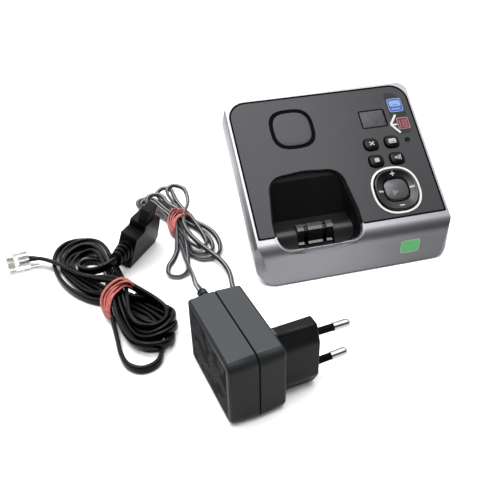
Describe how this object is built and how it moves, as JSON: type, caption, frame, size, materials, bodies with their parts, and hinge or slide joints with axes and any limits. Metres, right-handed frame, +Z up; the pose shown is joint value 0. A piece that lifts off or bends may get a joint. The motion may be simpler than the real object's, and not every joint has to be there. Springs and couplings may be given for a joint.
{
  "type": "cordless telephone base with mains adapter and line cord",
  "caption": "Sloped silver and dark grey phone base with a handset cradle, round-square keys and a ring navigator, a plug-in adapter and two tied cords.",
  "frame": {"origin": "on the table under the middle of the base", "axes": "+X along the base's width, the front faces -Y, +Z up"},
  "size_m": [0.2586, 0.2147, 0.0793],
  "materials": {
    "silver": "satin silver paint on plastic",
    "grey_panel": "fine matte dark grey",
    "black_case": "matte black",
    "black_gloss": "glossy black",
    "cap_grey": "matte dark grey",
    "white_trim": "white gloss",
    "window": "grey-blue tinted clear plastic",
    "display": "dark display body",
    "rubber": "soft grey rubber",
    "mat": "grey silicone",
    "board": "green circuit board",
    "tin": "tinned steel",
    "brass": "gold-coloured brass",
    "can": "sleeved can",
    "ribbon": "pale flat cable",
    "paper": "dark paper cone",
    "nickel": "bright nickel",
    "adapter": "finely textured black",
    "tape": "yellow tape over dark core",
    "grey_cord": "grey flexible vinyl",
    "black_cord": "black flexible vinyl",
    "band": "red rubber",
    "clear": "clear moulded plastic"
  },
  "bodies": {
    "base": {"upper_frame": "silver", "top_panel": "grey_panel", "lower_case": "black_case", "rubber_feet": "rubber", "cradle_liner": "black_gloss", "contact_block": "black_gloss", "locator_surround": "black_gloss", "counter_window": "window", "counter_display": "display", "navigator_trim": "white_trim", "key_mat": "mat", "key_board": "board", "radio_shield": "tin", "antenna": "brass", "microphone": "tin", "main_board": "board", "capacitors": "can", "line_socket": "black_case", "power_socket": "black_case", "ribbon_cable": "ribbon", "speaker_basket": "tin", "speaker_cone": "paper", "adapter_back": "adapter", "adapter_front": "adapter", "adapter_board": "board", "adapter_transformer": "tape", "adapter_capacitors": "can", "adapter_guard": "adapter", "mains_pin_upper": "nickel", "mains_pin_lower": "nickel", "pin_sleeve_upper": "black_case", "pin_sleeve_lower": "black_case", "dc_lead": "grey_cord", "dc_hank": "grey_cord", "dc_tail": "grey_cord", "dc_band": "band", "dc_plug": "adapter", "dc_plug_barrel": "nickel", "line_lead": "black_cord", "line_hank": "black_cord", "line_band": "band", "modular_plug": "clear", "modular_contacts": "brass", "wall_plug": "adapter", "wall_plug_boot": "adapter", "wall_plug_contacts": "brass"},
    "contact_left_body": {"contact_left": "nickel"},
    "contact_right_body": {"contact_right": "nickel"},
    "locator_button_body": {"locator_button": "cap_grey"},
    "erase_key_body": {"erase_key": "black_gloss"},
    "message_key_body": {"message_key": "black_gloss"},
    "stop_key_body": {"stop_key": "black_gloss"},
    "speaker_key_body": {"speaker_key": "black_gloss"},
    "navigator_rocker_body": {"navigator_rocker": "black_case"},
    "navigator_ring_body": {"navigator_ring": "black_gloss"},
    "play_button_body": {"play_button": "cap_grey"}
  },
  "joints": [
    {"name": "locator_button_press", "type": "slide", "parent": "base", "child": "locator_button_body", "axis": [0, 0.5976, -0.8018], "range_m": [0, 0.0006], "stiffness_N_per_m": 2500},
    {"name": "erase_key_press", "type": "slide", "parent": "base", "child": "erase_key_body", "axis": [0, 0.5976, -0.8018], "range_m": [0, 0.0006], "stiffness_N_per_m": 2500},
    {"name": "message_key_press", "type": "slide", "parent": "base", "child": "message_key_body", "axis": [0, 0.5976, -0.8018], "range_m": [0, 0.0006], "stiffness_N_per_m": 2500},
    {"name": "stop_key_press", "type": "slide", "parent": "base", "child": "stop_key_body", "axis": [0, 0.5976, -0.8018], "range_m": [0, 0.0006], "stiffness_N_per_m": 2500},
    {"name": "speaker_key_press", "type": "slide", "parent": "base", "child": "speaker_key_body", "axis": [0, 0.5976, -0.8018], "range_m": [0, 0.0006], "stiffness_N_per_m": 2500},
    {"name": "play_button_press", "type": "slide", "parent": "base", "child": "play_button_body", "axis": [0, 0.5976, -0.8018], "range_m": [0, 0.0006], "stiffness_N_per_m": 2500},
    {"name": "contact_left_press", "type": "slide", "parent": "base", "child": "contact_left_body", "axis": [0, 0, -1], "range_m": [0, 0.001], "stiffness_N_per_m": 900},
    {"name": "contact_right_press", "type": "slide", "parent": "base", "child": "contact_right_body", "axis": [0, 0, -1], "range_m": [0, 0.001], "stiffness_N_per_m": 900},
    {"name": "navigator_up_down", "type": "hinge", "parent": "base", "child": "navigator_rocker_body", "pos_m": [0.0307, -0.01962, 0.0342], "axis": [1, 0, 0], "range_deg": [-3, 3], "stiffness_Nm_per_rad": 0.25},
    {"name": "navigator_left_right", "type": "hinge", "parent": "navigator_rocker_body", "child": "navigator_ring_body", "pos_m": [0.0307, -0.01962, 0.0342], "axis": [0, 0.8018, 0.5976], "range_deg": [-3, 3], "stiffness_Nm_per_rad": 0.25}
  ]
}
